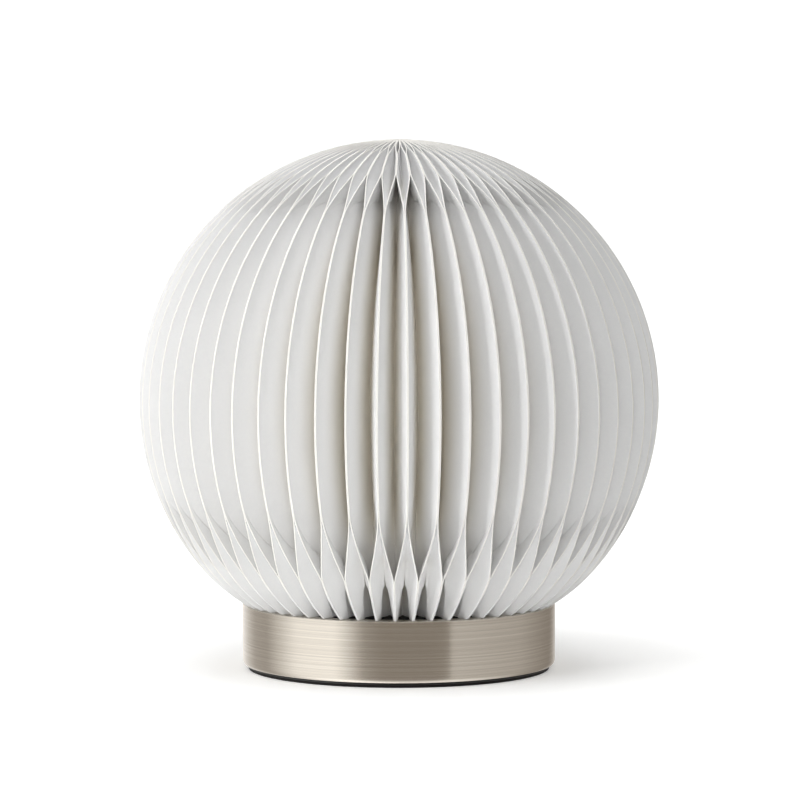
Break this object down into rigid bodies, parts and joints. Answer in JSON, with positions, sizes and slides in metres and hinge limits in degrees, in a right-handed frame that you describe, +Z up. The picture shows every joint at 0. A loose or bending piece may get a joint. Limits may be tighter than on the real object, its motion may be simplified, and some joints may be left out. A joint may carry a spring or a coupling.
{
  "type": "pleated paper table lamp",
  "caption": "Table lamp: a globe shade of glued crescent paper leaves that lifts off a brushed nickel drum base with a screw-in bulb.",
  "frame": {"origin": "on the table, under the middle of the base", "axes": "+Z up along the lamp's axis, front towards -Y, cord inlet at the back towards +Y"},
  "size_m": [0.25, 0.2498, 0.255],
  "materials": {
    "paper": "matte",
    "card": "matte",
    "nickel": "satin",
    "cast_weight": "matte",
    "steel": "satin",
    "black_plate": "satin",
    "black_pad": "matte",
    "black_plastic": "matte",
    "white_insulator": "satin",
    "brass": "satin",
    "grey_plastic": "matte",
    "brown_insulation": "matte",
    "blue_insulation": "matte",
    "bulb_cap": "satin",
    "bulb_housing": "satin",
    "bulb_boards": "matte",
    "bulb_cover": "satin"
  },
  "bodies": {
    "base": {"drum_shell": "nickel", "base_weight": "cast_weight", "plate_screw_1": "steel", "plate_screw_2": "steel", "plate_screw_3": "steel", "stem_tube": "steel", "stem_washer": "steel", "stem_nut_lower": "steel", "stem_nut_upper": "steel", "terminal_block_screw": "steel", "base_plate": "black_plate", "foot_pad": "black_pad", "lampholder_cap": "black_plastic", "lampholder_shell": "black_plastic", "cord_gland": "black_plastic", "gland_nut": "black_plastic", "lampholder_insert": "white_insulator", "lampholder_sleeve": "brass", "centre_contact": "brass", "clamp_screw_live_in": "brass", "clamp_screw_live_out": "brass", "clamp_screw_neutral_in": "brass", "clamp_screw_neutral_out": "brass", "terminal_block": "grey_plastic", "lead_live": "brown_insulation", "lead_neutral": "blue_insulation"},
    "bulb": {"bulb_tip": "brass", "bulb_cap": "bulb_cap", "bulb_body": "bulb_housing", "bulb_driver_board": "bulb_boards", "bulb_led_board": "bulb_boards", "bulb_globe": "bulb_cover"},
    "shade": {"leaf_pack_01": "paper", "leaf_pack_02": "paper", "leaf_pack_03": "paper", "leaf_pack_04": "paper", "leaf_pack_05": "paper", "leaf_pack_06": "paper", "leaf_pack_07": "paper", "leaf_pack_08": "paper", "leaf_pack_09": "paper", "leaf_pack_10": "paper", "leaf_pack_11": "paper", "leaf_pack_12": "paper", "leaf_pack_13": "paper", "leaf_pack_14": "paper", "leaf_pack_15": "paper", "leaf_pack_16": "paper", "leaf_pack_17": "paper", "leaf_pack_18": "paper", "shade_ring": "card", "hub_washer": "card", "top_hub": "card"}
  },
  "joints": [
    {"name": "shade_lift", "type": "slide", "parent": "base", "child": "shade", "axis": [0, 0, 1], "range_m": [0, 0.13]},
    {"name": "bulb_out", "type": "slide", "parent": "base", "child": "bulb", "axis": [0, 0, 1], "range_m": [0, 0.034]}
  ]
}
